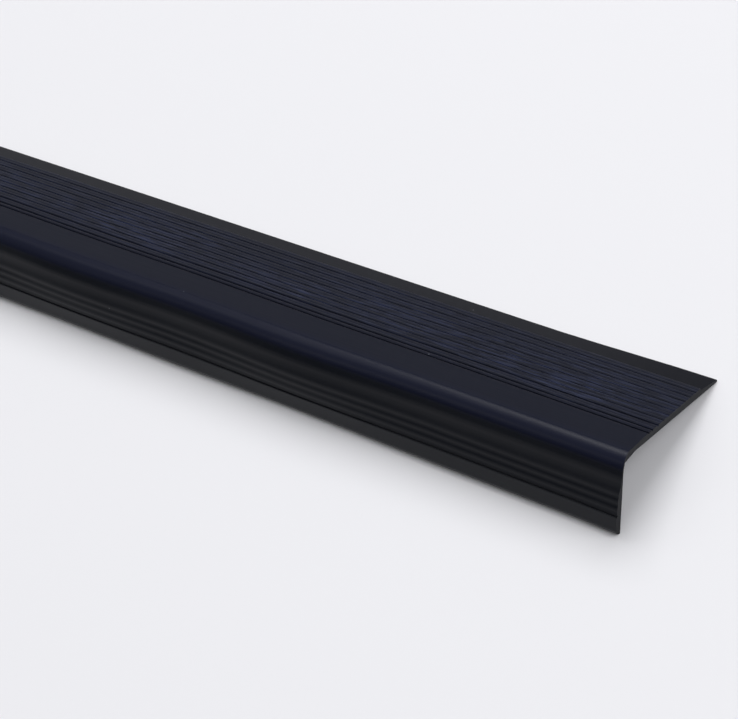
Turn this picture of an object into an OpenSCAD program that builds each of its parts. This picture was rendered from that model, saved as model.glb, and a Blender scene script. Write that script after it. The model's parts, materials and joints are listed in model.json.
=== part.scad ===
// Stair nosing: one strip of soft black PVC, extruded in an L with a ribbed tread leg and a fluted riser leg.
// The section is drawn as fitted: the riser face is at y = 0 with its lower edge at z = 0, and the
// tread leg runs back from it. The strip is then laid on a level floor, on the free edges of its legs,
// with its nose to -Y and the origin under the middle of its outline.

/* [Strip] */
// Length of the strip
strip_length = 1000; // [200:10:3000]

/* [Legs] */
// Depth of the tread leg, from the riser face to the rear edge
tread_depth = 50; // [45:1:80]
// Height of the riser leg, from its lower edge to the tread face
riser_height = 25; // [24:1:50]
// Wall of the tread leg
tread_wall = 2.5; // [2:0.1:4]
// Wall of the riser leg
riser_wall = 2.4; // [2.1:0.1:4]
// Outer radius of the nose
nose_radius = 5; // [3.5:0.1:6]
// Radius in the angle behind the nose
inner_radius = 2.6; // [1:0.1:4]

/* [Tread ribs] */
// Plain band of the tread, from the riser face to the middle of the first groove
nose_band = 15; // [10:0.1:20]
// Width from the first groove to the second, over the narrow rib
narrow_rib_pitch = 1.9; // [1.5:0.1:3]
// Pitch of the wide ribs
rib_pitch = 2.85; // [2:0.05:5]
// Width of a groove between its walls
groove_width = 0.4; // [0.3:0.05:0.8]
// Depth of a groove
groove_depth = 0.45; // [0.4:0.05:1]
// Radius on the edges of the ribs
rib_edge_radius = 0.15; // [0.1:0.05:0.3]

/* [Rear border] */
// Width of the plain border that slopes down behind the ribs
border_width = 7.6; // [4:0.1:10]
// Thickness of the strip at its rear edge
rear_edge = 0.9; // [0.7:0.05:1.2]
// Radius on top of the rear edge
rear_edge_radius = 0.5; // [0.2:0.05:0.6]

/* [Riser flutes] */
// Plain band at the foot of the riser
hem_height = 6.2; // [4:0.1:10]
// Radius on the lower front edge of the hem
hem_radius = 2; // [0.5:0.1:2]
// Width of the sharp groove along the top of the hem
hem_groove_width = 0.4; // [0.3:0.05:0.8]
// Depth of the sharp groove along the top of the hem
hem_groove_depth = 0.7; // [0.5:0.05:1]
// Pitch of the flutes
flute_pitch = 2.45; // [2:0.05:4]
// Flat land left on the crest between two flutes
flute_land = 0.2; // [0.1:0.05:0.5]
// Depth of a flute
flute_depth = 0.2; // [0.1:0.05:0.5]
// Width of the cove under the nose
cove_width = 5.2; // [4:0.1:6]
// Depth of the cove under the nose
cove_depth = 0.25; // [0.1:0.05:0.5]

/* [Hidden] */

$fn = 96;
pvc_black = "#24262c";
// Reach of a cutting shape past the face that it cuts
over = 1;

// Height of the tread leg's underside
underside = riser_height - tread_wall;

// Wide ribs: their first groove, and as many more as fit in front of the border
groove_mouth = groove_width + 2 * rib_edge_radius;
border_front = tread_depth - border_width;
first_rib = nose_band + narrow_rib_pitch;
rib_count = floor((border_front - first_rib - groove_mouth) / rib_pitch);

// Border: from the floor of the grooves, straight down to a tangent of the rear edge's round
border_top = riser_height - groove_depth;
rear_centre = [tread_depth - rear_edge_radius, underside + rear_edge - rear_edge_radius];
border_run = rear_centre.x - border_front;
border_drop = border_top - rear_centre.y;
border_fall = atan2(border_drop, border_run) - asin(rear_edge_radius / norm([border_run, border_drop]));
rear_tangent = rear_centre + rear_edge_radius * [sin(border_fall), cos(border_fall)];

// Flutes: as many as fit between the hem and the cove, from the hem upwards
flute_width = flute_pitch - flute_land;
flute_count = floor((riser_height - nose_radius - cove_width - hem_height) / flute_pitch);
flutes_top = hem_height + flute_count * flute_pitch;

// Lean of the strip on the floor, where it rests on its riser's lower edge and on its rear edge
lean = atan2(underside, tread_depth - riser_wall);
floor_drop = riser_wall * sin(lean);
along_floor = [cos(lean), sin(lean)];
reach_back = rear_centre * along_floor + rear_edge_radius;
reach_front = [hem_radius, hem_radius] * along_floor - hem_radius;

// Corner piece left between a round of the given radius and the square corner at the origin
module spandrel(radius) {
    difference() {
        square(radius);
        translate([radius, radius])
            circle(radius);
    }
}

// Round-bottomed groove with rounded edges, cut down from the line y = 0
module rib_groove() {
    translate([-groove_width / 2, groove_width / 2 - groove_depth])
        square([groove_width, groove_depth - groove_width / 2 + over]);
    translate([0, groove_width / 2 - groove_depth])
        circle(groove_width / 2);
    for (side = [0, 1])
        mirror([side, 0])
            translate([groove_width / 2, 0])
                mirror([0, 1])
                    spandrel(rib_edge_radius);
}

// Round hollow of the given width and depth, cut in from the line x = 0
module hollow(width, depth) {
    radius = (width * width / 4 + depth * depth) / (2 * depth);
    translate([depth - radius, 0])
        circle(radius);
}

// The two legs with the round of the nose outside, the fillet inside and the round of the hem
module legs() {
    difference() {
        union() {
            square([riser_wall, riser_height]);
            translate([0, underside])
                square([tread_depth, tread_wall]);
            translate([riser_wall, underside])
                mirror([0, 1])
                    spandrel(inner_radius);
        }
        translate([0, riser_height])
            mirror([0, 1])
                spandrel(nose_radius);
        spandrel(hem_radius);
    }
}

// Cut that leaves the thin border behind the ribs, down to the round of the rear edge
module border_cut() {
    difference() {
        polygon([
            [border_front, border_top],
            rear_tangent,
            rear_centre,
            [tread_depth + over, rear_centre.y],
            [tread_depth + over, riser_height + over],
            [border_front, riser_height + over]
        ]);
        translate(rear_centre)
            circle(rear_edge_radius);
    }
}

// Grooves of the tread, with the rounded rear edge of the last rib
module tread_grooves() {
    translate([nose_band, riser_height])
        rib_groove();
    for (i = [0 : rib_count])
        translate([first_rib + i * rib_pitch, riser_height])
            rib_groove();
    translate([border_front, riser_height])
        rotate(180)
            spandrel(rib_edge_radius);
}

// Flutes of the riser, the cove over them and the sharp groove along the top of the hem
module riser_flutes() {
    for (i = [0 : flute_count - 1])
        translate([0, hem_height + (i + 0.5) * flute_pitch])
            hollow(flute_width, flute_depth);
    translate([0, flutes_top + cove_width / 2])
        hollow(cove_width, cove_depth);
    translate([-over, hem_height])
        square([over + hem_groove_depth, hem_groove_width]);
}

// Whole section, as fitted
module section() {
    difference() {
        legs();
        tread_grooves();
        border_cut();
        riser_flutes();
    }
}

module nosing_strip() {
    color(pvc_black)
        translate([-strip_length / 2, -(reach_back + reach_front) / 2, floor_drop])
            rotate([-lean, 0, 0])
                rotate([90, 0, 90])
                    linear_extrude(strip_length)
                        section();
}

nosing_strip();
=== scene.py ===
"""Stair nosing of extruded black PVC, dressed and lit as a studio photograph of it.

The strip is modelled as fitted: the riser face is at y = 0, the lower edge of the riser is at z = 0 and the
tread leg runs back from there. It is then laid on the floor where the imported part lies. Sizes are in
millimetres, apart from those of the floor and the lamps, which are in metres.
"""
import json
import logging
import math
from collections.abc import Callable, Iterable
from dataclasses import dataclass
from enum import Enum
from typing import Any

import bmesh
import bpy
from mathutils import Matrix, Vector


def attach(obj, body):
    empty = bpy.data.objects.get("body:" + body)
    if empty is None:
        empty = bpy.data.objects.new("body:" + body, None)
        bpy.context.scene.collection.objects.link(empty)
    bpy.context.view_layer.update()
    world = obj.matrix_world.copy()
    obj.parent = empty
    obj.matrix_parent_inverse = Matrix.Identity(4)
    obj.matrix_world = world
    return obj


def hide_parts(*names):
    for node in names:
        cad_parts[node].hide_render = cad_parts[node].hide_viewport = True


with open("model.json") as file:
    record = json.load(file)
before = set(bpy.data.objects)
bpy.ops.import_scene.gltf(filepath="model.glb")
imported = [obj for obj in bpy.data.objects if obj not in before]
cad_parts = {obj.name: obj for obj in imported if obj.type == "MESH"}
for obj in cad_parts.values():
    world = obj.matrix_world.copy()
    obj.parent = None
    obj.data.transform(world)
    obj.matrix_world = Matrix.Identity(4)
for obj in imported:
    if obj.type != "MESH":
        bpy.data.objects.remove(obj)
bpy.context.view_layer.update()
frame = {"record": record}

LOG = logging.getLogger("stair_nosing")
NODE = "nosing_strip"

MM = 0.001
# Points this close to a place are taken to be there
NEAR_ENOUGH = 0.01 * MM
# Corners this close to each other are merged
MERGED = 0.001 * MM
# Corners this close to a place are pulled with it
GRIP = 1.0 * MM
# A corner of the section that turns by less than this is taken out
STRAIGHT = math.radians(0.5)
# An edge that turns by less than this is shaded smooth
SMOOTH = math.radians(32)

# Sockets of a node that mixes colours, by number because their names repeat
MIX_SHARE = 0
MIX_UNDER = 6
MIX_OVER = 7
MIX_RESULT = 2

# A place in the section: depth behind the riser face and height over the riser's lower edge
Place = tuple[float, float]
# A stretch of the tread: depths of its front and of its rear
Stretch = tuple[float, float]
Socket = bpy.types.NodeSocket
Tree = bpy.types.NodeTree


class Part(Enum):
    """The parts of a mesh that can be selected, by Blender's names for them."""

    CORNER = "VERT"
    EDGE = "EDGE"
    FACE = "FACE"


class Across(Enum):
    """The two ways to cut the section, by the direction that the cut faces."""

    DEPTH = (0, 1, 0)
    HEIGHT = (0, 0, 1)


class Facets(Enum):
    """How many straight pieces a round of the section has, by what is rounded."""

    NOSE = 28
    INNER_CORNER = 14
    BROAD = 12
    FLUTE = 8
    RIB_REAR = 7
    REAR_EDGE = 6
    EDGE = 5
    LIP = 4
    FINE_LINE = 3


def linear(hex_colour: str) -> tuple[float, float, float, float]:
    """Turn an sRGB hex colour into the linear colour that a shader takes, by the curve of the sRGB standard.

    Args:
        hex_colour: the colour as "#rrggbb".

    Returns:
        Red, green, blue and an alpha of 1, in linear light.
    """
    shares = [int(hex_colour[i:i + 2], 16) / 255 for i in (1, 3, 5)]
    red, green, blue = [s / 12.92 if s <= 0.04045 else ((s + 0.055) / 1.055) ** 2.4 for s in shares]
    return red, green, blue, 1.0


def add_node(tree: Tree, kind: str, inputs: dict[str | int, Any] | None = None,
             **settings: Any) -> bpy.types.Node:
    """Add a node to a tree, set it and feed its inputs.

    Args:
        tree: the node tree.
        kind: the node's type name.
        inputs: input name or number to the output socket that feeds it, or to its value.
        settings: the node's own properties.

    Returns:
        The new node.
    """
    node = tree.nodes.new(kind)
    for name, value in settings.items():
        setattr(node, name, value)
    for name, source in (inputs or {}).items():
        if isinstance(source, Socket):
            tree.links.new(source, node.inputs[name])
        else:
            node.inputs[name].default_value = source
    return node


def new_material(name: str) -> bpy.types.Material:
    """Make a material with an empty node tree.

    Args:
        name: the material's name.

    Returns:
        The material.
    """
    material = bpy.data.materials.new(name)
    material.use_nodes = True
    material.node_tree.nodes.clear()
    return material


def select_where(part: Part, test: Callable[[Vector], bool]) -> int:
    """Select the parts of the edited mesh whose middles pass a test, and nothing else.

    Args:
        part: what to select.
        test: given a point in metres, says whether it is wanted.

    Returns:
        How many parts were selected.
    """
    bpy.ops.mesh.select_mode(type=part.value)
    bpy.ops.mesh.select_all(action="DESELECT")
    data = bpy.context.edit_object.data
    mesh = bmesh.from_edit_mesh(data)
    found = 0
    for item in {Part.CORNER: mesh.verts, Part.EDGE: mesh.edges, Part.FACE: mesh.faces}[part]:
        corners = [item] if part is Part.CORNER else item.verts
        middle = sum((corner.co for corner in corners), Vector()) / len(corners)
        item.select_set(test(middle))
        found += item.select
    mesh.select_flush_mode()
    bmesh.update_edit_mesh(data)
    return found


def at(*places: Place) -> Callable[[Vector], bool]:
    """Make a test for the points of the section at given places.

    Args:
        places: the places.

    Returns:
        The test, for points in metres.
    """
    spots = [Vector(place) * MM for place in places]
    return lambda point: any((point.yz - spot).length < NEAR_ENOUGH for spot in spots)


def bisect(across: Across, place: float) -> None:
    """Cut the selected faces of the section along one straight line.

    Args:
        across: the way that the cut faces.
        place: the depth or the height of the cut.
    """
    normal = Vector(across.value)
    bpy.ops.mesh.bisect(plane_co=normal * place * MM, plane_no=normal)


def move(depth: float, height: float) -> None:
    """Move what is selected of the section.

    Args:
        depth: how far backwards.
        height: how far up.
    """
    bpy.ops.transform.translate(value=Vector((0, depth, height)) * MM)


def extrude(depth: float, height: float) -> None:
    """Draw the selected edge of the section out into a new face.

    Args:
        depth: how far backwards.
        height: how far up.
    """
    bpy.ops.mesh.extrude_region_move(TRANSFORM_OT_translate={"value": Vector((0, depth, height)) * MM})


def round_off(corners: Iterable[Place], reach: float, facets: Facets) -> None:
    """Round corners of the section.

    Args:
        corners: the corners' places.
        reach: how far along its sides a corner's round reaches.
        facets: how many straight pieces the round has.
    """
    wanted = list(corners)
    found = select_where(Part.CORNER, at(*wanted))
    if found != len(wanted):
        raise ValueError(f"{found} of {len(wanted)} corners are there to round: {wanted}")
    bpy.ops.mesh.bevel(offset=reach * MM, segments=facets.value, affect="VERTICES")


@dataclass(frozen=True)
class FloorPose:
    """How the strip lies on the floor: its lean in radians, and the fitted origin's place in metres."""

    lean: float
    shift: Vector

    @classmethod
    def from_record(cls, record: dict[str, Any], riser_middle: Place) -> "FloorPose":
        """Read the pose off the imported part's riser face.

        Args:
            record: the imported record.
            riser_middle: the middle of the riser's flat back as fitted.

        Returns:
            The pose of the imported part.
        """
        face = next(mount for mount in record["mounts"] if mount["name"] == "riser_face")
        lean = math.atan2(-face["axis"][2], face["axis"][1])
        fitted = Vector((0, *riser_middle)) * MM
        return cls(lean, Vector(face["pos_m"]) - Matrix.Rotation(-lean, 3, "X") @ fitted)

    def matrix(self) -> Matrix:
        """Give the move from the fitted place to the floor."""
        return Matrix.Translation(self.shift) @ Matrix.Rotation(-self.lean, 4, "X")


@dataclass(frozen=True)
class FinishLines:
    """Where the finish changes: at the top of the hem, and at the fronts of the ribs and of the border."""

    hem_top: float
    ribs_front: float
    border_front: float


@dataclass(frozen=True)
class Zones:
    """Sockets that say where on the strip a point is.

    Place is where the strip lies, and depth is in the fitted section, both in metres. The others are shares
    of a zone, from 0 outside it to 1 inside it: what is higher than the hem, what lies behind the nose's
    curve, the riser, the ribs with all behind them, and the border.
    """

    place: Socket
    depth: Socket
    over_hem: Socket
    behind_nose_curve: Socket
    riser: Socket
    ribs: Socket
    border: Socket


@dataclass(frozen=True)
class ExtrudedPvc:
    """Flexible PVC as it leaves the die, with painted light on its top and the dust of use on it."""

    # To the eye it is near black and satin, with faint lines drawn along the strip. The nose and the top are
    # navy, painted bluer than the riser as light falling from above, and the nose's curve is bluest, with a
    # painted bluish tint of its highlight. The border is painted a paler neutral grey, as a painted
    # reflection of the pale ground behind it. Fine dust lies in streaks and patches on the ribs.
    name: str = "flexible_PVC_extruded_satin_black"

    # Colours: the bare plastic, the border's painted reflection, the top's painted light, and what lies on
    # it
    # The bare near black, which the riser shows without the top's painted light
    colour: str = "#11141b"
    # Paler and neutral: a painted reflection of the pale ground behind the border
    border_grey_and_painted_reflection_colour: str = "#15161c"
    # Bluest, on the nose's curve: navy with painted bluish light from above and a painted bluish tint of the
    # highlight
    nose_navy_and_painted_light_colour: str = "#0f1326"
    # On the flat and the ribs: navy with painted bluish light from above
    top_navy_and_painted_light_colour: str = "#101320"
    dusty_colour: str = "#2b314a"
    lint_colour: str = "#b4b7c0"

    # Shine, which is weak on the worn surface, and weakest on the border
    ior: float = 1.52
    roughness: float = 0.34
    roughness_spread: float = 0.05
    nose_specular: float = 0.17
    rib_specular: float = 0.135
    hem_specular: float = 0.21
    flute_specular: float = 0.105
    border_specular: float = 0.025

    # Where the top's painted light begins on the nose, where the flat's colour takes over, and how softly
    # the other zones meet
    painted_light_from: float = 20.6
    painted_light_to: float = 22.0
    flat_blend_from: float = 3.0
    flat_blend_to: float = 6.5
    hem_blend: float = 0.2
    ribs_blend: float = 0.5
    border_blend: float = 0.1

    # Die lines and grain, which are drawn coarser than the real ones, because those are too fine to show
    die_line_width: float = 0.5
    die_line_length: float = 125.0
    die_line_height: float = 0.04
    die_line_strength: float = 0.3
    grain_width: float = 0.35
    grain_height: float = 0.03
    grain_strength: float = 0.2
    fine_detail: float = 2.0

    # Dust, in streaks that are also drawn coarser so that they show, and thickest on the front ribs. The
    # draw picks one layout of its patches.
    streak_width: float = 0.45
    streak_length: float = 9.0
    streak_from: float = 0.5
    streak_to: float = 0.64
    patch_width: float = 45.0
    patch_draw: float = 5.0
    patch_detail: float = 3.0
    patch_from: float = 0.2
    patch_to: float = 0.8
    dustiest: float = 25.0
    front_dust: float = 2.0
    rear_dust: float = 0.35

    # Specks of lint
    lint_width: float = 0.5
    lint_spacing: float = 11.0
    lint_cover: float = 0.6

    def material(self, pose: FloorPose, lines: FinishLines) -> bpy.types.Material:
        """Make the material.

        Args:
            pose: how the strip lies on the floor.
            lines: where the finish changes.

        Returns:
            The finished material.
        """
        material = new_material(self.name)
        tree = material.node_tree
        zones = self._zones(tree, pose, lines)
        die_lines = self._drawn_marks(tree, zones, self.die_line_width, self.die_line_length)
        roughness = add_node(tree, "ShaderNodeMapRange", {
            "Value": die_lines, "To Min": self.roughness - self.roughness_spread,
            "To Max": self.roughness + self.roughness_spread}).outputs["Result"]
        dust = self._dust(tree, zones, lines)
        shader = add_node(tree, "ShaderNodeBsdfPrincipled", {
            "Base Color": self._colour(tree, zones, dust), "Roughness": roughness, "IOR": self.ior,
            "Specular IOR Level": self._shine(tree, zones),
            "Normal": self._relief(tree, zones, die_lines)}).outputs["BSDF"]
        add_node(tree, "ShaderNodeOutputMaterial", {"Surface": shader})
        return material

    def _zones(self, tree: Tree, pose: FloorPose, lines: FinishLines) -> Zones:
        """Find out where on the strip a point is.

        Args:
            tree: the material's node tree.
            pose: how the strip lies on the floor.
            lines: where the finish changes.

        Returns:
            The sockets that say it.
        """
        place = add_node(tree, "ShaderNodeTexCoord").outputs["Object"]
        back = pose.matrix().inverted()
        fitted = add_node(tree, "ShaderNodeMapping", {
            "Vector": place, "Location": back.to_translation(),
            "Rotation": back.to_euler()}).outputs["Vector"]
        section = add_node(tree, "ShaderNodeSeparateXYZ", {"Vector": fitted})
        depth = section.outputs["Y"]
        height = section.outputs["Z"]
        limits = {
            "over_hem": (height, lines.hem_top, lines.hem_top + self.hem_blend),
            # From the nose's curve back, the top's colour with its painted light takes over
            "behind_nose_curve": (depth, self.flat_blend_from, self.flat_blend_to),
            # Under the nose, the riser's near black replaces the top's painted light
            "riser": (height, self.painted_light_to, self.painted_light_from),
            "ribs": (depth, lines.ribs_front - self.ribs_blend, lines.ribs_front + self.ribs_blend),
            "border": (depth, lines.border_front - self.border_blend,
                       lines.border_front + self.border_blend),
        }
        shares = {}
        for zone, (measure, outside, inside) in limits.items():
            shares[zone] = add_node(tree, "ShaderNodeMapRange", {
                "Value": measure, "From Min": outside * MM, "From Max": inside * MM}).outputs["Result"]
        return Zones(place, depth, **shares)

    def _drawn_marks(self, tree: Tree, zones: Zones, width: float, length: float) -> Socket:
        """Make a pattern of marks that are drawn along the strip.

        Args:
            tree: the material's node tree.
            zones: where on the strip a point is.
            width: how wide a mark is.
            length: how long a mark is.

        Returns:
            The pattern, from 0 to 1.
        """
        drawn = add_node(tree, "ShaderNodeMapping", {
            "Vector": zones.place, "Scale": (width / length, 1.0, 1.0)}).outputs["Vector"]
        return add_node(tree, "ShaderNodeTexNoise", {
            "Vector": drawn, "Scale": 1 / (width * MM), "Detail": self.fine_detail}).outputs["Fac"]

    def _dust(self, tree: Tree, zones: Zones, lines: FinishLines) -> Socket:
        """Let dust settle on the ribs, in streaks and patches, and less towards the border.

        Args:
            tree: the material's node tree.
            zones: where on the strip a point is.
            lines: where the finish changes.

        Returns:
            How much dust covers a point.
        """
        backwards = add_node(tree, "ShaderNodeMapRange", {
            "Value": zones.depth, "From Min": lines.ribs_front * MM, "From Max": lines.border_front * MM,
            "To Min": self.front_dust, "To Max": self.rear_dust}).outputs["Result"]
        settled = add_node(tree, "ShaderNodeMapRange", {
            "Value": zones.depth, "From Min": lines.ribs_front * MM, "From Max": self.dustiest * MM,
            "To Max": backwards}).outputs["Result"]
        patches = add_node(tree, "ShaderNodeTexNoise", {
            "Vector": zones.place, "W": self.patch_draw, "Scale": 1 / (self.patch_width * MM),
            "Detail": self.patch_detail}, noise_dimensions="4D").outputs["Fac"]
        patchy = add_node(tree, "ShaderNodeMapRange", {
            "Value": patches, "From Min": self.patch_from, "From Max": self.patch_to,
            "To Max": settled}).outputs["Result"]
        streaks = self._drawn_marks(tree, zones, self.streak_width, self.streak_length)
        return add_node(tree, "ShaderNodeMapRange", {
            "Value": streaks, "From Min": self.streak_from, "From Max": self.streak_to,
            "To Max": patchy}).outputs["Result"]

    def _colour(self, tree: Tree, zones: Zones, dust: Socket) -> Socket:
        """Lay the colours of the strip one by one over the nose's colour, which holds painted light.

        Args:
            tree: the material's node tree.
            zones: where on the strip a point is.
            dust: how much dust covers a point.

        Returns:
            The colour.
        """
        from_lint = add_node(tree, "ShaderNodeTexVoronoi", {
            "Vector": zones.place, "Scale": 1 / (self.lint_spacing * MM)}).outputs["Distance"]
        lint = add_node(tree, "ShaderNodeMapRange", {
            "Value": from_lint, "From Min": self.lint_width / self.lint_spacing / 2, "From Max": 0.0,
            "To Max": self.lint_cover}).outputs["Result"]
        # The nose's and the top's colours hold painted bluish light, which the riser's near black covers
        # under the nose
        coats = (
            (zones.behind_nose_curve, self.top_navy_and_painted_light_colour),
            (dust, self.dusty_colour),
            (zones.riser, self.colour),
            # The border's paler grey is a painted reflection of the pale ground behind it
            (zones.border, self.border_grey_and_painted_reflection_colour),
            (lint, self.lint_colour),
        )
        # The nose's colour, with its painted light and painted highlight tint, lies under all the others
        colour = linear(self.nose_navy_and_painted_light_colour)
        for share, coat in coats:
            colour = add_node(tree, "ShaderNodeMix", {
                MIX_SHARE: share, MIX_UNDER: colour, MIX_OVER: linear(coat)},
                data_type="RGBA").outputs[MIX_RESULT]
        return colour

    def _shine(self, tree: Tree, zones: Zones) -> Socket:
        """Give each zone its own shine.

        Args:
            tree: the material's node tree.
            zones: where on the strip a point is.

        Returns:
            The specular level.
        """
        riser_specular = add_node(tree, "ShaderNodeMapRange", {
            "Value": zones.over_hem, "To Min": self.hem_specular,
            "To Max": self.flute_specular}).outputs["Result"]
        levels = (
            (zones.ribs, self.rib_specular),
            (zones.riser, riser_specular),
            (zones.border, self.border_specular),
        )
        shine = self.nose_specular
        for share, level in levels:
            shine = add_node(tree, "ShaderNodeMapRange", {
                "Value": share, "To Min": shine, "To Max": level}).outputs["Result"]
        return shine

    def _relief(self, tree: Tree, zones: Zones, die_lines: Socket) -> Socket:
        """Raise the die lines and the grain.

        Args:
            tree: the material's node tree.
            zones: where on the strip a point is.
            die_lines: the pattern of the die lines.

        Returns:
            The normal.
        """
        lined = add_node(tree, "ShaderNodeBump", {
            "Height": die_lines, "Strength": self.die_line_strength,
            "Distance": self.die_line_height * MM}).outputs["Normal"]
        grain = add_node(tree, "ShaderNodeTexNoise", {
            "Vector": zones.place, "Scale": 1 / (self.grain_width * MM),
            "Detail": self.fine_detail}).outputs["Fac"]
        return add_node(tree, "ShaderNodeBump", {
            "Height": grain, "Strength": self.grain_strength, "Distance": self.grain_height * MM,
            "Normal": lined}).outputs["Normal"]


@dataclass(frozen=True)
class KnifeCutPvc:
    """The same PVC where a blade has cut the strip to length."""

    # To the eye it is matt and a little greyer than the drawn faces, and rough with fine drag marks
    name: str = "flexible_PVC_knife_cut"
    colour: str = "#15161a"
    ior: float = 1.52
    specular: float = 0.15
    roughness: float = 0.6

    # Drag marks, which are drawn coarser than the real ones, because those are too fine to show
    drag_mark_width: float = 0.3
    drag_mark_height: float = 0.05
    drag_mark_strength: float = 0.4
    drag_mark_detail: float = 3.0

    def material(self) -> bpy.types.Material:
        """Make the material.

        Returns:
            The finished material.
        """
        material = new_material(self.name)
        tree = material.node_tree
        place = add_node(tree, "ShaderNodeTexCoord").outputs["Object"]
        marks = add_node(tree, "ShaderNodeTexNoise", {
            "Vector": place, "Scale": 1 / (self.drag_mark_width * MM),
            "Detail": self.drag_mark_detail}).outputs["Fac"]
        relief = add_node(tree, "ShaderNodeBump", {
            "Height": marks, "Strength": self.drag_mark_strength,
            "Distance": self.drag_mark_height * MM}).outputs["Normal"]
        shader = add_node(tree, "ShaderNodeBsdfPrincipled", {
            "Base Color": linear(self.colour), "Roughness": self.roughness, "IOR": self.ior,
            "Specular IOR Level": self.specular, "Normal": relief}).outputs["BSDF"]
        add_node(tree, "ShaderNodeOutputMaterial", {"Surface": shader})
        return material


@dataclass(frozen=True)
class Pull:
    """A pull that handling gave to a place of the near end, and how far from that place it reaches."""

    along: float
    backwards: float
    up: float
    reach: float


@dataclass
class NosingStrip:
    """The strip: the sizes of its section as fitted, and how it is modelled and dressed."""

    # Legs
    length: float = 1000.0
    tread_depth: float = 50.0
    riser_height: float = 25.0
    tread_wall: float = 2.5
    riser_wall: float = 2.4

    # Nose, whose front leans back, and the corner behind it
    nose_radius: float = 4.4
    nose_set_back: float = 1.0
    nose_foot_round: float = 0.9
    inner_radius: float = 2.6

    # Ribs of the tread, each wide one with a low crown and a fine line along it
    nose_band: float = 15.0
    narrow_rib_pitch: float = 1.9
    rib_pitch: float = 2.85
    rib_crown: float = 0.035
    rib_edge_radius: float = 0.15
    rib_rear_radius: float = 0.26
    line_share: float = 0.42
    line_width: float = 0.6
    line_depth: float = 0.06
    line_round: float = 0.1

    # Grooves between the ribs, deep next to the nose. The two rounds of a groove's floor just don't meet.
    deep_grooves: int = 3
    groove_width: float = 0.6
    groove_depth: float = 0.55
    shallow_groove_width: float = 0.36
    shallow_groove_depth: float = 0.2
    groove_round_share: float = 0.48

    # Thin border behind the ribs
    border_width: float = 7.6
    rear_corner: float = 0.82
    rear_round: float = 0.42

    # Hem of the riser and the groove over it
    hem_height: float = 6.2
    hem_radius: float = 2.0
    hem_set_back: float = 0.25
    hem_edge_round: float = 0.3
    hem_groove_width: float = 0.6
    hem_groove_depth: float = 0.42
    groove_lip_round: float = 0.2

    # Flutes and cove of the riser. A fold goes past a flute's depth by a share, which rounding takes off.
    flute_count: int = 3
    flute_pitch: float = 2.45
    flute_depth: float = 0.12
    fold_past: float = 0.5
    flute_round_share: float = 0.49
    lowest_flute_round_share: float = 0.4
    cove_width: float = 5.2
    cove_depth: float = 0.19
    cove_round_share: float = 0.22

    # Near end, as a hand-made cut and handling left it
    cut_slant: float = 0.8
    rear_corner_pull: Pull = Pull(along=0.3, backwards=1.0, up=0.4, reach=55.0)
    nose_pull: Pull = Pull(along=1.0, backwards=0.0, up=0.0, reach=9.0)
    hem_pull: Pull = Pull(along=-0.3, backwards=0.0, up=-0.35, reach=10.0)

    # Slow waves of the soft stock
    wave_length: float = 90.0
    waves_from: float = 66.0
    riser_swell: float = 1.25
    nose_sway: float = 0.5
    hem_kick: float = 0.45
    cage_points_per_wave: int = 4
    ring_spacing: float = 12.5

    @property
    def underside(self) -> float:
        """Height of the tread leg's underside."""
        return self.riser_height - self.tread_wall

    @property
    def riser_middle(self) -> Place:
        """Middle of the riser's flat back, from its lower edge to the round behind the nose."""
        return self.riser_wall, (self.underside - self.inner_radius) / 2

    @property
    def border_front(self) -> float:
        """Depth at which the ribs end and the sloping border begins."""
        return self.tread_depth - self.border_width

    @property
    def groove_floor(self) -> float:
        """Height of the deep grooves' floors."""
        return self.riser_height - self.groove_depth

    @property
    def shallow_floor(self) -> float:
        """Height of the shallow grooves' floors."""
        return self.riser_height - self.shallow_groove_depth

    @property
    def rib_edge(self) -> float:
        """Height of the ribs' edges, a little under their crowns."""
        return self.riser_height - self.rib_crown

    @property
    def grooves(self) -> list[float]:
        """Depths of the middles of the tread's grooves, from the nose backwards."""
        second = self.nose_band + self.narrow_rib_pitch
        mouth = self.shallow_groove_width + 2 * self.rib_edge_radius
        count = math.floor((self.border_front - second - mouth) / self.rib_pitch) + 1
        return [self.nose_band] + [second + i * self.rib_pitch for i in range(count)]

    @property
    def deep_sides(self) -> list[float]:
        """Depths of both walls of the deep grooves, next to the nose."""
        return [middle + side * self.groove_width / 2
                for middle in self.grooves[:self.deep_grooves] for side in (-1, 1)]

    @property
    def shallow_sides(self) -> list[float]:
        """Depths of both walls of the shallow grooves, behind the deep ones."""
        return [middle + side * self.shallow_groove_width / 2
                for middle in self.grooves[self.deep_grooves:] for side in (-1, 1)]

    @property
    def groove_sides(self) -> list[float]:
        """Depths of both walls of each groove of the tread."""
        return self.deep_sides + self.shallow_sides

    @property
    def ribs(self) -> list[Stretch]:
        """Depths of the front and the rear edge of each rib, from the nose backwards."""
        edges = [*self.groove_sides[1:], self.border_front]
        return list(zip(edges[::2], edges[1::2]))

    @property
    def rib_lines(self) -> list[float]:
        """Depths of the fine lines along the wide ribs, a little in front of their middles."""
        return [front + self.line_share * (rear - front) for front, rear in self.ribs[1:]]

    @property
    def ridges(self) -> list[float]:
        """Depths of the low ridges: one along the narrow rib, and one on each side of a wide rib's line."""
        beside_lines = [line + side * self.line_width / 2 for line in self.rib_lines for side in (-1, 1)]
        return [sum(self.ribs[0]) / 2, *beside_lines]

    @property
    def hem_groove_top(self) -> float:
        """Height of the upper edge of the groove over the hem."""
        return self.hem_height + self.hem_groove_width

    @property
    def flutes_top(self) -> float:
        """Height of the crest over the last flute of the riser."""
        return self.hem_height + self.flute_count * self.flute_pitch

    @property
    def nose_foot(self) -> float:
        """Height at which the cove meets the nose."""
        return self.flutes_top + self.cove_width

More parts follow.
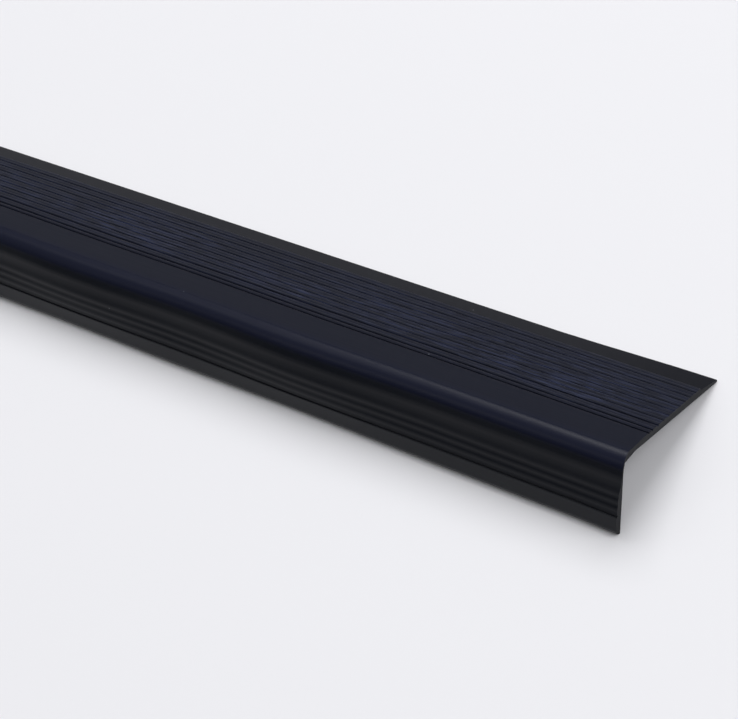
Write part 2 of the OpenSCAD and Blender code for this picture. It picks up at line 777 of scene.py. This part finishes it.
    @property
    def crests(self) -> list[Place]:
        """Folds of the riser face that become the crests over its flutes, from the hem upwards."""
        heights = [self.hem_height + (i + 1) * self.flute_pitch for i in range(self.flute_count)]
        return [(-self.flute_depth * self.fold_past, height) for height in heights]

    @property
    def valleys(self) -> list[Place]:
        """Folds of the riser face that become the bottoms of its flutes, from the hem upwards."""
        heights = [self.hem_height + (i + 0.5) * self.flute_pitch for i in range(self.flute_count)]
        return [(self.flute_depth * (1 + self.fold_past), height) for height in heights]

    @property
    def flank(self) -> float:
        """Length of a folded flute's side, from a crest to the next valley."""
        return math.hypot(self.flute_pitch / 2, self.flute_depth * (1 + 2 * self.fold_past))

    @property
    def cove(self) -> Place:
        """Fold of the riser face that becomes the bottom of the cove under the nose."""
        return self.cove_depth, self.flutes_top + self.cove_width / 2

    @property
    def groove_lip(self) -> Place:
        """Upper edge of the groove over the hem, where the lowest flute runs out."""
        return self.flute_depth, self.hem_groove_top

    @property
    def nose_reach(self) -> float:
        """How far along its two faces the round of the nose reaches, where they meet in an open corner."""
        corner = math.pi / 2 + math.atan(self.nose_set_back / (self.riser_height - self.nose_foot))
        return self.nose_radius / math.tan(corner / 2)

    def build(self, pose: FloorPose) -> bpy.types.Object:
        """Model the strip where it lies on the floor.

        Args:
            pose: how it lies there.

        Returns:
            The strip's object, at the origin with its place in its mesh.
        """
        bpy.ops.object.select_all(action="DESELECT")
        self._draw_legs()
        self._cut_tread_grooves()
        self._fold_riser_face()
        self._join_section()
        self._round_section()
        self._draw_out()
        self._handle()
        self._bow()
        self._lay_down(pose)
        self._smooth()
        strip = bpy.context.active_object
        strip.name = "stair_nosing"
        strip.data.name = strip.name
        return strip

    def _draw_legs(self) -> None:
        """Draw the section's two plain legs at the far end, with the thin border behind the tread leg."""
        middle = Vector((-self.length, self.border_front, self.underside + self.riser_height)) / 2 * MM
        upright = (0, math.pi / 2, 0)
        bpy.ops.mesh.primitive_plane_add(size=self.border_front * MM, location=middle, rotation=upright)
        bpy.ops.object.transform_apply(location=True, rotation=True, scale=True)
        bpy.ops.object.mode_set(mode="EDIT")
        bpy.ops.mesh.select_all(action="SELECT")
        bpy.ops.transform.resize(value=(1, 1, self.tread_wall / self.border_front), center_override=middle)
        bisect(Across.DEPTH, self.riser_wall)
        bpy.ops.mesh.select_all(action="SELECT")
        bisect(Across.HEIGHT, self.groove_floor)
        select_where(Part.EDGE, at((self.riser_wall / 2, self.underside)))
        extrude(0, -self.underside)
        select_where(Part.EDGE, at((self.border_front, (self.underside + self.groove_floor) / 2)))
        extrude(self.border_width, 0)
        select_where(Part.CORNER, at((self.tread_depth, self.groove_floor)))
        move(0, self.underside + self.rear_corner - self.groove_floor)

    def _cut_tread_grooves(self) -> None:
        """Cut the grooves out of the top layer of the tread leg, and crown the ribs between them."""
        for line in (*self.groove_sides, *self.ridges, *self.rib_lines):
            select_where(Part.FACE, lambda point: point.z > self.groove_floor * MM)
            bisect(Across.DEPTH, line)
        middle = (self.groove_floor + self.riser_height) / 2
        select_where(Part.FACE, at(*[(groove, middle) for groove in self.grooves]))
        bpy.ops.mesh.delete(type="FACE")
        select_where(Part.CORNER, at(*[(edge, self.riser_height) for rib in self.ribs for edge in rib]))
        move(0, -self.rib_crown)
        select_where(Part.CORNER, at(*[(line, self.riser_height) for line in self.rib_lines]))
        move(0, -self.line_depth)
        select_where(Part.CORNER, at(*[(side, self.groove_floor) for side in self.shallow_sides]))
        move(0, self.shallow_floor - self.groove_floor)

    def _fold_riser_face(self) -> None:
        """Cut the groove over the hem, and fold the front layer of the riser into flutes and a cove."""
        folds = [*self.crests, *self.valleys, self.cove, self.groove_lip]
        select_where(Part.FACE, lambda point: point.z < self.underside * MM)
        bisect(Across.DEPTH, self.hem_groove_depth)
        for line in (self.hem_height, self.nose_foot, *[height for _, height in folds]):
            select_where(Part.FACE, lambda point: point.z < self.underside * MM
                         and point.y < self.hem_groove_depth * MM)
            bisect(Across.HEIGHT, line)
        select_where(Part.FACE, at((self.hem_groove_depth / 2, (self.hem_height + self.hem_groove_top) / 2)))
        bpy.ops.mesh.delete(type="FACE")
        for depth, height in [*folds, (self.hem_set_back, 0)]:
            select_where(Part.CORNER, at((0, height)))
            move(depth, 0)

    def _join_section(self) -> None:
        """Join the section into one face, with only the corners that it needs, and lean its nose back."""
        bpy.ops.mesh.select_mode(type=Part.FACE.value)
        bpy.ops.mesh.select_all(action="SELECT")
        bpy.ops.mesh.dissolve_faces()
        bpy.ops.mesh.select_all(action="SELECT")
        bpy.ops.mesh.dissolve_limited(angle_limit=STRAIGHT)
        select_where(Part.CORNER, at((0, self.riser_height)))
        move(self.nose_set_back, 0)

    def _round_section(self) -> None:
        """Round the section: its nose and its edges, then the ribs and grooves, then the riser's flutes."""
        round_off([(self.nose_set_back, self.riser_height)], self.nose_reach, Facets.NOSE)
        round_off([(self.riser_wall, self.underside)], self.inner_radius, Facets.INNER_CORNER)
        round_off([(self.hem_set_back, 0)], self.hem_radius, Facets.BROAD)
        round_off([(self.tread_depth, self.underside + self.rear_corner)], self.rear_round, Facets.REAR_EDGE)

        ridges = [(ridge, self.riser_height) for ridge in self.ridges]
        fine_lines = [(line, self.riser_height - self.line_depth) for line in self.rib_lines]
        round_off([(self.groove_sides[0], self.riser_height)], self.rib_edge_radius, Facets.EDGE)
        round_off([(front, self.rib_edge) for front, _ in self.ribs], self.rib_edge_radius, Facets.EDGE)
        round_off([(rear, self.rib_edge) for _, rear in self.ribs], self.rib_rear_radius, Facets.RIB_REAR)
        round_off(ridges, self.rib_edge_radius, Facets.EDGE)
        round_off(fine_lines, self.line_round, Facets.FINE_LINE)

        deep_corners = [(side, self.groove_floor) for side in self.deep_sides]
        shallow_corners = [(side, self.shallow_floor) for side in self.shallow_sides]
        round_off(deep_corners, self.groove_width * self.groove_round_share, Facets.EDGE)
        round_off(shallow_corners, self.shallow_groove_width * self.groove_round_share, Facets.EDGE)

        lowest, *other_valleys = self.valleys
        round_off([*self.crests, *other_valleys], self.flank * self.flute_round_share, Facets.FLUTE)
        round_off([lowest], self.flank * self.lowest_flute_round_share, Facets.FLUTE)
        round_off([self.cove], self.cove_width * self.cove_round_share, Facets.BROAD)
        round_off([(0, self.nose_foot)], self.nose_foot_round, Facets.FLUTE)
        round_off([(0, self.hem_height)], self.hem_edge_round, Facets.EDGE)
        round_off([self.groove_lip], self.groove_lip_round, Facets.LIP)

    def _draw_out(self) -> None:
        """Draw the section out to the strip's length, in rings close enough for it to bend."""
        bpy.ops.mesh.select_mode(type=Part.FACE.value)
        bpy.ops.mesh.select_all(action="SELECT")
        bpy.ops.mesh.extrude_region_move(TRANSFORM_OT_translate={"value": (self.length * MM, 0, 0)})
        # The long edges are those whose middles lie halfway along the strip
        select_where(Part.EDGE, lambda point: abs(point.x) < self.length / 4 * MM)
        bpy.ops.mesh.subdivide(number_cuts=round(self.length / self.ring_spacing) - 1)
        bpy.ops.mesh.select_all(action="SELECT")
        bpy.ops.mesh.remove_doubles(threshold=MERGED)
        bpy.ops.mesh.normals_make_consistent(inside=False)

    def _pull_near_end(self, place: Place, pull: Pull) -> None:
        """Pull one place of the near end, and less and less of what lies round it.

        Args:
            place: the place in the section that is pulled.
            pull: how far it is pulled, and how far round it.
        """
        middle = Vector((self.length / 2, *place)) * MM
        select_where(Part.CORNER, lambda point: (point - middle).length < GRIP)
        bpy.ops.transform.translate(value=Vector((pull.along, pull.backwards, pull.up)) * MM,
                                    use_proportional_edit=True, proportional_edit_falloff="SMOOTH",
                                    proportional_size=pull.reach * MM)

    def _handle(self) -> None:
        """Leave the near end as handling left it: its rear corner bent up, its cut not quite square."""
        # What is hidden isn't pulled, so that only the rear half of the border bends
        select_where(Part.CORNER, lambda point: point.y > (self.border_front + self.border_width / 2) * MM)
        bpy.ops.mesh.hide(unselected=True)
        self._pull_near_end((self.tread_depth, self.underside), self.rear_corner_pull)
        bpy.ops.mesh.reveal(select=False)
        near_end = self.length / 2 * MM - GRIP / 2
        select_where(Part.CORNER, lambda point: point.x > near_end
                     and point.y > self.riser_wall * MM - NEAR_ENOUGH
                     and point.z < self.underside * MM + NEAR_ENOUGH)
        bpy.ops.transform.translate(value=(-self.cut_slant * MM, 0, 0))
        self._pull_near_end((0, self.riser_height - self.nose_radius), self.nose_pull)
        self._pull_near_end((0, self.hem_radius), self.hem_pull)

    def _wave(self, from_near_end: float) -> float:
        """Say how high up a wave a place along the strip is.

        Args:
            from_near_end: how far it is from the near end.

        Returns:
            The height, from 0 in a trough to 1 on a crest, less towards the far end.
        """
        along = max(0.0, from_near_end - self.waves_from) / self.wave_length
        return (1 - math.cos(2 * math.pi * along)) / 2 * (1 - from_near_end / self.length)

    def _add_cage(self) -> bpy.types.Object:
        """Put a cage round the fitted strip, with levels at its hem, halfway up its riser and at its top.

        Returns:
            The cage's object.
        """
        size = Vector((self.length, self.tread_depth, self.riser_height)) * MM
        bpy.ops.object.add(type="LATTICE", location=(0, size.y / 2, size.z / 2))
        cage = bpy.context.active_object
        cage.scale = size
        cage.data.points_u = round(self.cage_points_per_wave * self.length / self.wave_length) + 1
        cage.data.points_w = 3
        cage.data.interpolation_type_u = "KEY_CARDINAL"
        cage.data.interpolation_type_v = "KEY_LINEAR"
        cage.data.interpolation_type_w = "KEY_CARDINAL"
        return cage

    def _bow(self) -> None:
        """Bow the front in slow waves, as soft stock does: where the riser swells out, its hem draws in."""
        bpy.ops.object.mode_set(mode="OBJECT")
        strip = bpy.context.active_object
        cage = self._add_cage()
        # The cage's points have places from -0.5 to 0.5 along each of its sides
        for point in cage.data.points:
            wave = self._wave((0.5 - point.co.x) * self.length)
            outwards_at_level = {
                -1: self.hem_kick * (1 - wave),
                0: self.riser_swell * wave,
                1: self.nose_sway * wave,
            }
            if point.co.y < 0:
                level = round(2 * point.co.z)
                point.co_deform.y -= outwards_at_level[level] / self.tread_depth
        bpy.context.view_layer.objects.active = strip
        bpy.ops.object.modifier_add(type="LATTICE")
        bend = strip.modifiers[-1]
        bend.object = cage
        bpy.ops.object.modifier_apply(modifier=bend.name)
        bpy.data.objects.remove(cage)
        strip.select_set(True)

    def _lay_down(self, pose: FloorPose) -> None:
        """Turn and move the fitted strip to where it lies on the floor.

        Args:
            pose: how it lies there.
        """
        bpy.ops.object.mode_set(mode="EDIT")
        bpy.ops.mesh.select_all(action="SELECT")
        bpy.ops.transform.rotate(value=pose.lean, orient_axis="X", center_override=(0, 0, 0))
        bpy.ops.transform.translate(value=pose.shift)
        bpy.ops.object.mode_set(mode="OBJECT")

    def _smooth(self) -> None:
        """Shade the rounds smooth and keep the flats flat, by weighing normals by the faces' areas."""
        bpy.ops.object.shade_smooth_by_angle(angle=SMOOTH)
        bpy.ops.object.modifier_add(type="WEIGHTED_NORMAL")
        weigh = bpy.context.object.modifiers[-1]
        weigh.keep_sharp = True
        bpy.ops.object.modifier_apply(modifier=weigh.name)

    def dress(self, strip: bpy.types.Object, pose: FloorPose) -> None:
        """Give the strip its finishes, with the knife-cut one on its two ends.

        Args:
            strip: the strip's object.
            pose: how it lies on the floor.
        """
        lines = FinishLines(self.hem_height, self.nose_band, self.border_front)
        strip.data.materials.append(ExtrudedPvc().material(pose, lines))
        strip.data.materials.append(KnifeCutPvc().material())
        bpy.ops.object.mode_set(mode="EDIT")
        # The ends lie further out than the middles of the last rings
        select_where(Part.FACE, lambda point: abs(point.x) > (self.length - self.ring_spacing / 2) / 2 * MM)
        strip.active_material_index = 1
        bpy.ops.object.material_slot_assign()
        bpy.ops.object.mode_set(mode="OBJECT")


@dataclass(frozen=True)
class PaleFloor:
    """Matt painted board, which fades into the backdrop away from the strip. Sizes are in metres."""

    # To the eye it is plain and nearly white, takes a soft shadow and shines nowhere
    name: str = "painted_board_matt_white"
    colour: str = "#e9e9ed"
    roughness: float = 0.9
    specular: float = 0.1
    side: float = 30.0
    fades_from: float = 0.7
    fades_to: float = 1.6

    def build(self, backdrop: str) -> bpy.types.Object:
        """Lay the floor under the strip.

        Args:
            backdrop: the colour of the backdrop, as "#rrggbb".

        Returns:
            The floor's object.
        """
        bpy.ops.mesh.primitive_plane_add(size=self.side)
        floor = bpy.context.active_object
        floor.name = "floor"
        floor.data.materials.append(self.material(backdrop))
        return floor

    def material(self, backdrop: str) -> bpy.types.Material:
        """Make the material.

        Args:
            backdrop: the colour of the backdrop, as "#rrggbb".

        Returns:
            The finished material.
        """
        material = new_material(self.name)
        tree = material.node_tree
        board = add_node(tree, "ShaderNodeBsdfPrincipled", {
            "Base Color": linear(self.colour), "Roughness": self.roughness,
            "Specular IOR Level": self.specular}).outputs["BSDF"]
        place = add_node(tree, "ShaderNodeTexCoord").outputs["Object"]
        away = add_node(tree, "ShaderNodeVectorMath", {0: place}, operation="LENGTH").outputs["Value"]
        seen = add_node(tree, "ShaderNodeLightPath").outputs["Is Camera Ray"]
        faded = add_node(tree, "ShaderNodeMapRange", {
            "Value": away, "From Min": self.fades_from, "From Max": self.fades_to, "To Max": seen},
            interpolation_type="SMOOTHSTEP").outputs["Result"]
        pale = add_node(tree, "ShaderNodeEmission", {"Color": linear(backdrop)}).outputs["Emission"]
        both = add_node(tree, "ShaderNodeMixShader", {0: faded, 1: board, 2: pale}).outputs["Shader"]
        add_node(tree, "ShaderNodeOutputMaterial", {"Surface": both})
        return material


@dataclass(frozen=True)
class Softbox:
    """One soft lamp, by the direction from the strip as fitted that it shines from.

    Sizes and the distance are in metres, and the power is in watts.
    """

    name: str
    towards: tuple[float, float, float]
    distance: float
    width: float
    height: float
    power: float

    def hang(self, pose: FloorPose, aim: Vector) -> bpy.types.Object:
        """Hang the lamp so that it faces the strip.

        Args:
            pose: how the strip lies on the floor.
            aim: the point that it faces, in metres.

        Returns:
            The lamp's object.
        """
        lamp = bpy.data.lights.new(self.name, "AREA")
        lamp.shape = "RECTANGLE"
        lamp.size = self.width
        lamp.size_y = self.height
        lamp.energy = self.power
        box = bpy.data.objects.new(self.name, lamp)
        bpy.context.scene.collection.objects.link(box)
        way = pose.matrix().to_3x3() @ Vector(self.towards).normalized()
        box.location = aim + way * self.distance
        box.rotation_euler = way.to_track_quat("Z", "Y").to_euler()
        return box


@dataclass
class Studio:
    """The camera at the photograph's view of the fitted strip, the lamps and the room round it."""

    # Point on the nose at the middle of the picture
    from_near_end: float = 85.91
    behind_riser: float = 3.68

    # Camera, with its angles in degrees
    distance: float = 621.2
    azimuth: float = 38.87
    elevation: float = 30.65
    roll: float = -2.59
    lens: float = 106.1
    nearest_seen: float = 10.0

    # Room: its glow low down and high up, and how far up, from 0 to 1, the one begins to turn into the other
    room_low: float = 0.03
    room_high: float = 0.5
    low_up_to: float = 0.1
    high_from: float = 0.85
    backdrop: str = "#ebebef"

    # Lamps: overhead and side for the light, front and left for soft gleams on the riser and the nose
    boxes: tuple[Softbox, ...] = (
        Softbox("overhead_softbox", (-0.17, 0.18, 0.97), distance=3.6, width=2.2, height=1.8, power=72.0),
        Softbox("side_softbox", (0.75, -0.1, 0.65), distance=5.2, width=3.8, height=3.8, power=160.0),
        Softbox("front_softbox", (-0.48, -0.76, 0.42), distance=1.2, width=0.2, height=0.25, power=0.3),
        Softbox("left_softbox", (-0.6, -0.19, 0.78), distance=3.0, width=0.75, height=0.75, power=2.2),
    )

    def aim(self, strip: NosingStrip, pose: FloorPose) -> Vector:
        """Find the point on the nose at the middle of the picture.

        Args:
            strip: the strip's sizes.
            pose: how it lies on the floor.

        Returns:
            The point, in metres.
        """
        fitted = Vector((strip.length / 2 - self.from_near_end, self.behind_riser, strip.riser_height)) * MM
        return pose.matrix() @ fitted

    def set_camera(self, aim: Vector, pose: FloorPose) -> bpy.types.Object:
        """Put the camera where it sees the strip as the photograph does.

        Args:
            aim: the point at the middle of the picture, in metres.
            pose: how the strip lies on the floor.

        Returns:
            The camera's object.
        """
        data = bpy.data.cameras.new("camera")
        data.lens = self.lens
        data.clip_start = self.nearest_seen * MM
        camera = bpy.data.objects.new("camera", data)
        bpy.context.scene.collection.objects.link(camera)
        turn = (pose.matrix().to_3x3().to_4x4()
                @ Matrix.Rotation(math.radians(self.azimuth), 4, "Z")
                @ Matrix.Rotation(math.radians(90 - self.elevation), 4, "X")
                @ Matrix.Rotation(math.radians(self.roll), 4, "Z"))
        away = turn @ Vector((0, 0, self.distance * MM))
        camera.matrix_world = Matrix.Translation(aim + away) @ turn
        bpy.context.scene.camera = camera
        return camera

    def light_room(self) -> None:
        """Make the room: dim round the horizon, brighter overhead, and a pale backdrop to the camera."""
        world = bpy.data.worlds.new("studio_room")
        bpy.context.scene.world = world
        world.use_nodes = True
        tree = world.node_tree
        tree.nodes.clear()
        way = add_node(tree, "ShaderNodeTexCoord").outputs["Generated"]
        height = add_node(tree, "ShaderNodeSeparateXYZ", {"Vector": way}).outputs["Z"]
        glow = add_node(tree, "ShaderNodeMapRange", {
            "Value": height, "From Min": self.low_up_to, "From Max": self.high_from,
            "To Min": self.room_low, "To Max": self.room_high},
            interpolation_type="SMOOTHSTEP").outputs["Result"]
        room = add_node(tree, "ShaderNodeBackground", {"Strength": glow}).outputs["Background"]
        pale = add_node(tree, "ShaderNodeBackground", {"Color": linear(self.backdrop)}).outputs["Background"]
        seen = add_node(tree, "ShaderNodeLightPath").outputs["Is Camera Ray"]
        both = add_node(tree, "ShaderNodeMixShader", {0: seen, 1: room, 2: pale}).outputs["Shader"]
        add_node(tree, "ShaderNodeOutputWorld", {"Surface": both})

    def build(self, strip: NosingStrip, pose: FloorPose) -> None:
        """Set up the floor, the room, the lamps and the camera.

        Args:
            strip: the strip's sizes.
            pose: how it lies on the floor.
        """
        bpy.context.scene.view_settings.view_transform = "Standard"
        aim = self.aim(strip, pose)
        PaleFloor().build(self.backdrop)
        self.light_room()
        for box in self.boxes:
            box.hang(pose, aim)
        self.set_camera(aim, pose)


def main() -> None:
    """Build the strip, dress it and set up the studio round it."""
    logging.basicConfig(level=logging.INFO, format="%(message)s")
    sizes = NosingStrip()
    pose = FloorPose.from_record(frame["record"], sizes.riser_middle)
    strip = sizes.build(pose)
    sizes.dress(strip, pose)
    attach(strip, "root")
    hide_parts(NODE)
    corners = len(strip.data.vertices)
    LOG.info("%s: %d corners, lean %.2f degrees", strip.name, corners, math.degrees(pose.lean))
    Studio().build(sizes, pose)


if __name__ == "__main__":
    main()
